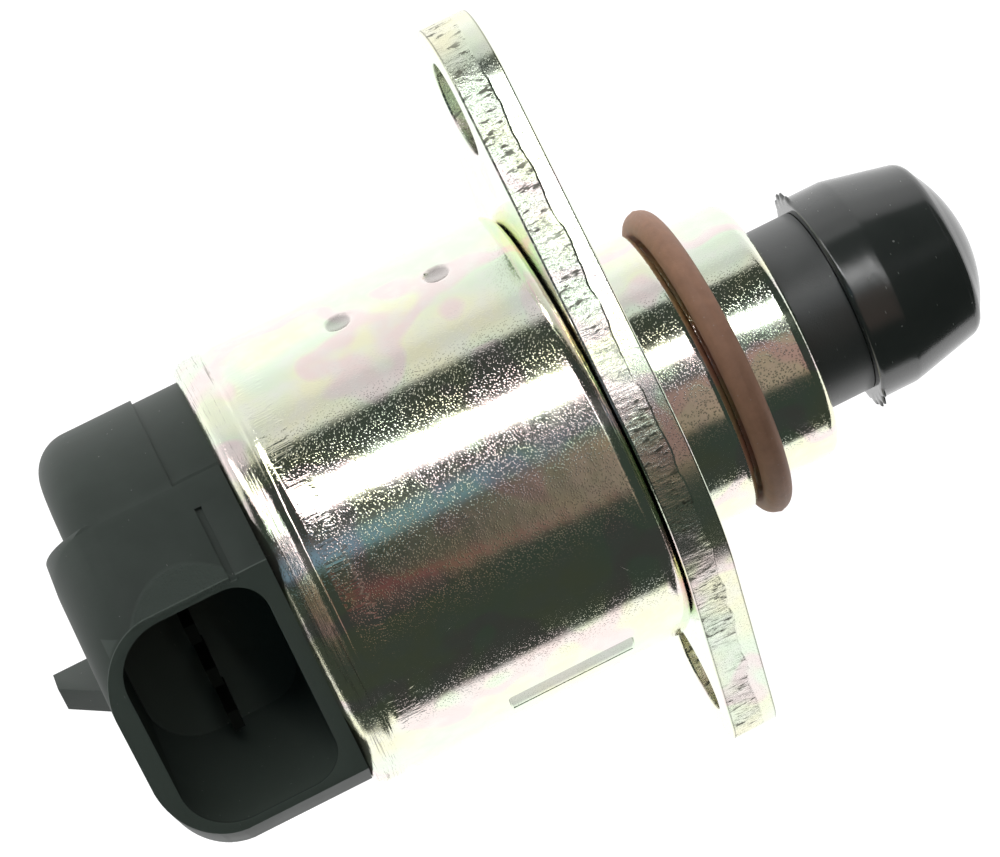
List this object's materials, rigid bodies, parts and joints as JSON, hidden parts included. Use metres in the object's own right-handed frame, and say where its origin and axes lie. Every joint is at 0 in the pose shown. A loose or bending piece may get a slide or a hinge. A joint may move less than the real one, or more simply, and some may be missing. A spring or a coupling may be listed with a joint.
{
  "type": "idle air control valve",
  "caption": "Idle air control valve: a stepper motor in a plated can behind an eared flange moves a tapered pintle in and out of a sealed nose, with a side plug socket.",
  "frame": {"origin": "on the valve axis, at the front face of the flange that meets the throttle body", "axes": "+X along the valve axis out of the pintle, +Y towards the longer ear of the flange, +Z out of the plug socket"},
  "size_m": [0.0733, 0.0605, 0.0336],
  "materials": {
    "zinc_plate": "bright zinc plating with a faint yellow and green tint",
    "brown_rubber": "matt moulded sealing ring",
    "black_rubber": "matt moulded sealing ring",
    "black_plastic": "satin moulding",
    "pale_plastic": "natural moulding",
    "tinned_brass": "bright",
    "copper_wire": "enamelled wire",
    "soft_iron": "dull plated sheet",
    "bearing_steel": "ground and polished",
    "ferrite": "dark sintered magnet"
  },
  "bodies": {
    "valve_body": {"motor_can": "zinc_plate", "flange_plate": "zinc_plate", "nose_sleeve": "zinc_plate", "o_ring": "brown_rubber", "rear_cover": "black_plastic", "cover_seal": "black_rubber", "terminal_1": "tinned_brass", "terminal_2": "tinned_brass", "terminal_3": "tinned_brass", "terminal_4": "tinned_brass", "front_bobbin": "pale_plastic", "rear_bobbin": "pale_plastic", "front_winding": "copper_wire", "rear_winding": "copper_wire", "front_outer_pole": "soft_iron", "front_inner_pole": "soft_iron", "rear_inner_pole": "soft_iron", "rear_outer_pole": "soft_iron", "bearing_outer_race": "bearing_steel", "rear_bush": "tinned_brass", "spring_washer": "bearing_steel", "screw_guide": "pale_plastic"},
    "rotor": {"rotor_magnet": "ferrite", "rotor_hub": "black_plastic", "drive_nut": "tinned_brass", "bearing_inner_race": "bearing_steel"},
    "ball_set": {"bearing_cage": "tinned_brass", "bearing_balls": "bearing_steel"},
    "pintle": {"lead_screw": "bearing_steel", "pintle_plunger": "black_plastic", "pintle_head": "black_plastic"}
  },
  "joints": [
    {"name": "rotor_spin", "type": "hinge", "parent": "valve_body", "child": "rotor", "pos_m": [-0.015, 0, 0], "axis": [1, 0, 0], "range_deg": [-1440, 1080]},
    {"name": "pintle_slide", "type": "slide", "parent": "valve_body", "child": "pintle", "axis": [1, 0, 0], "range_m": [-0.004, 0.003]},
    {"name": "ball_set_spin", "type": "hinge", "parent": "valve_body", "child": "ball_set", "pos_m": [-0.0031, 0, 0], "axis": [1, 0, 0], "range_deg": [-540, 405]}
  ],
  "couplings": [
    {"joint": "pintle_slide", "follows": "rotor_spin", "m_per_rad": 0.00015915},
    {"joint": "ball_set_spin", "follows": "rotor_spin", "ratio": 0.375}
  ]
}
